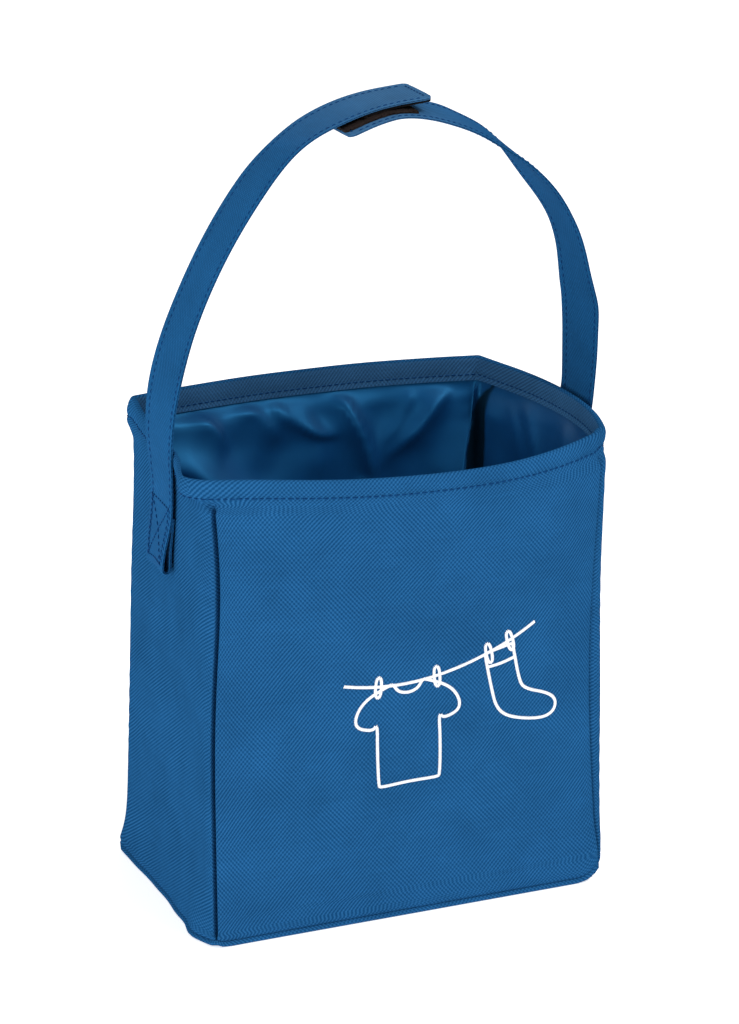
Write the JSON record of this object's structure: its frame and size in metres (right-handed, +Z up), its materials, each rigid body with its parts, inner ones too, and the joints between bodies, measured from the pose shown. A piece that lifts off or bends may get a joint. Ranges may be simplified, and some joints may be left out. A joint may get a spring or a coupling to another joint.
{
  "type": "peg bag",
  "caption": "Open lined cloth bag for clothes pegs, with a flat base, a turned hem and a strap handle that opens at the top with hook and loop tape.",
  "frame": {"origin": "middle of the base's underside, on the surface that the bag stands on", "axes": "+Z up, -Y towards the front wall, +X to the right seen from the front"},
  "size_m": [0.2004, 0.1478, 0.3516],
  "materials": {
    "shell_cloth": "blue coated oxford weave",
    "lining_cloth": "glossy thin blue taffeta",
    "strap_cloth": "blue folded oxford strap",
    "thread": "dark blue sewing thread",
    "embroidery_thread": "white satin stitch",
    "grip_tape": "black nylon hook and loop",
    "board": "plain grey sheet"
  },
  "bodies": {
    "bag": {"front_panel": "shell_cloth", "back_panel": "shell_cloth", "left_gusset": "shell_cloth", "right_gusset": "shell_cloth", "base_panel": "shell_cloth", "base_board": "board", "front_lining": "lining_cloth", "back_lining": "lining_cloth", "left_lining": "lining_cloth", "right_lining": "lining_cloth", "base_lining": "lining_cloth", "hem_topstitch": "thread", "left_strap_anchor": "strap_cloth", "right_strap_anchor": "strap_cloth", "left_box_stitch": "thread", "right_box_stitch": "thread"},
    "left_neck": {"left_strap_neck": "strap_cloth"},
    "right_neck": {"right_strap_neck": "strap_cloth"},
    "left_arm": {"left_strap_arm": "strap_cloth", "hook_tape": "grip_tape"},
    "right_arm": {"right_strap_arm": "strap_cloth", "loop_tape": "grip_tape"}
  },
  "joints": [
    {"name": "left_swing", "type": "hinge", "parent": "bag", "child": "left_neck", "pos_m": [-0.0935, 0, 0.2053], "axis": [1, 0, 0], "range_deg": [-55, 55]},
    {"name": "right_swing", "type": "hinge", "parent": "bag", "child": "right_neck", "pos_m": [0.1025, 0, 0.2053], "axis": [1, 0, 0], "range_deg": [-55, 55]},
    {"name": "left_open", "type": "hinge", "parent": "left_neck", "child": "left_arm", "pos_m": [-0.1007, 0, 0.2302], "axis": [0, -1, 0], "range_deg": [0, 150]},
    {"name": "right_open", "type": "hinge", "parent": "right_neck", "child": "right_arm", "pos_m": [0.1117, 0, 0.2302], "axis": [0, 1, 0], "range_deg": [0, 150]}
  ],
  "couplings": [
    {"joint": "right_swing", "follows": "left_swing", "ratio": 1},
    {"joint": "right_open", "follows": "left_open", "ratio": 1}
  ]
}
